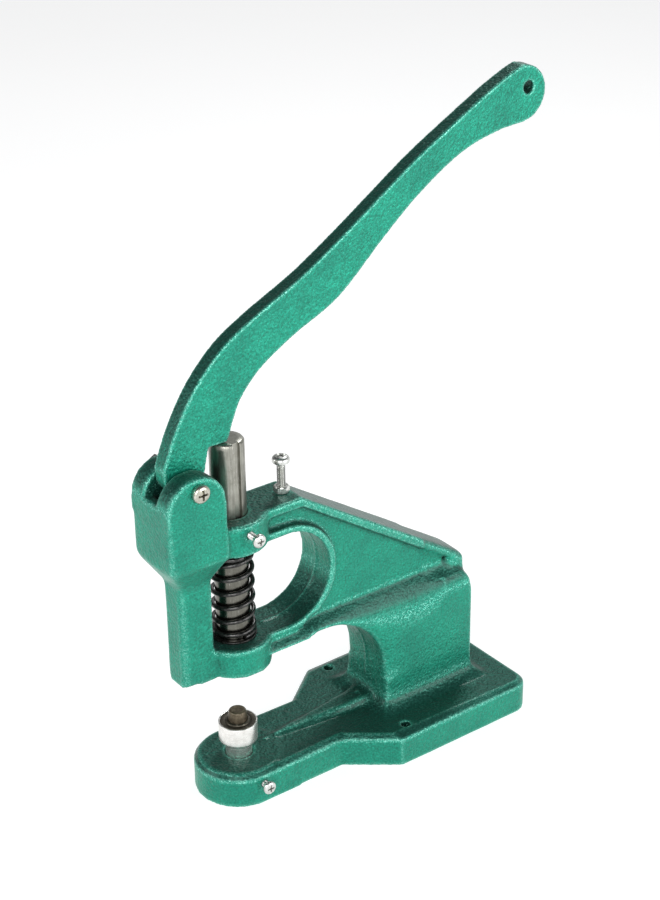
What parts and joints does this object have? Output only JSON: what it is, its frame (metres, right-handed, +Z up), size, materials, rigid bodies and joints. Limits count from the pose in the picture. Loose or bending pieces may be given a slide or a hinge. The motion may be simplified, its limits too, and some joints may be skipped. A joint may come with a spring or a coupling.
{
  "type": "snap setting press",
  "caption": "Bench-top hand press: cast C-frame with a round spring-returned ram, a curved cam lever on a cross pin and a sprung lower die.",
  "frame": {"origin": "on the bench plane, on the vertical axis of the ram and lower die", "axes": "+Z up along the ram, +Y towards the rear of the press, +X to its right-hand side, where the side screws are"},
  "size_m": [0.0946, 0.2673, 0.3908],
  "materials": {
    "green_enamel": "green metallic hammertone enamel on a grey iron casting",
    "zinc_plate": "bright zinc plating",
    "ground_steel": "ground steel, lightly worn and oiled",
    "black_steel": "oiled black spring steel",
    "nickel_plate": "satin nickel plating",
    "black_oxide": "black oxide",
    "brown_oxide": "heat-browned steel"
  },
  "bodies": {
    "frame": {"frame_casting": "green_enamel", "pivot_screw": "zinc_plate", "pivot_washer": "zinc_plate", "pivot_nut": "zinc_plate", "guide_screw": "zinc_plate", "stop_locknut": "zinc_plate", "die_set_screw": "zinc_plate", "die_cup": "nickel_plate", "die_face_ring": "black_oxide", "spring_seat": "black_steel", "return_spring": "black_steel", "pilot_spring": "black_steel"},
    "lever": {"hand_lever": "green_enamel"},
    "ram": {"ram": "ground_steel", "spring_collar": "black_steel", "collar_pin": "ground_steel"},
    "stop_screw": {"stop_screw": "zinc_plate"},
    "pilot": {"pilot_pin": "brown_oxide"}
  },
  "joints": [
    {"name": "lever_hinge", "type": "hinge", "parent": "frame", "child": "lever", "pos_m": [0, -0.03, 0.208], "axis": [-1, 0, 0], "range_deg": [0, 50.6]},
    {"name": "ram_slide", "type": "slide", "parent": "frame", "child": "ram", "axis": [0, 0, -1], "range_m": [0, 0.0269], "stiffness_N_per_m": 400, "springref_m": -0.02, "deforming": ["return_spring"]},
    {"name": "stop_screw_travel", "type": "slide", "parent": "frame", "child": "stop_screw", "axis": [0, 0, -1], "range_m": [0, 0.01]},
    {"name": "pilot_slide", "type": "slide", "parent": "frame", "child": "pilot", "axis": [0, 0, -1], "range_m": [0, 0.004], "stiffness_N_per_m": 800, "springref_m": -0.003, "deforming": ["pilot_spring"]}
  ],
  "couplings": [
    {"joint": "ram_slide", "follows": "lever_hinge", "m_per_rad": 0.03035}
  ]
}
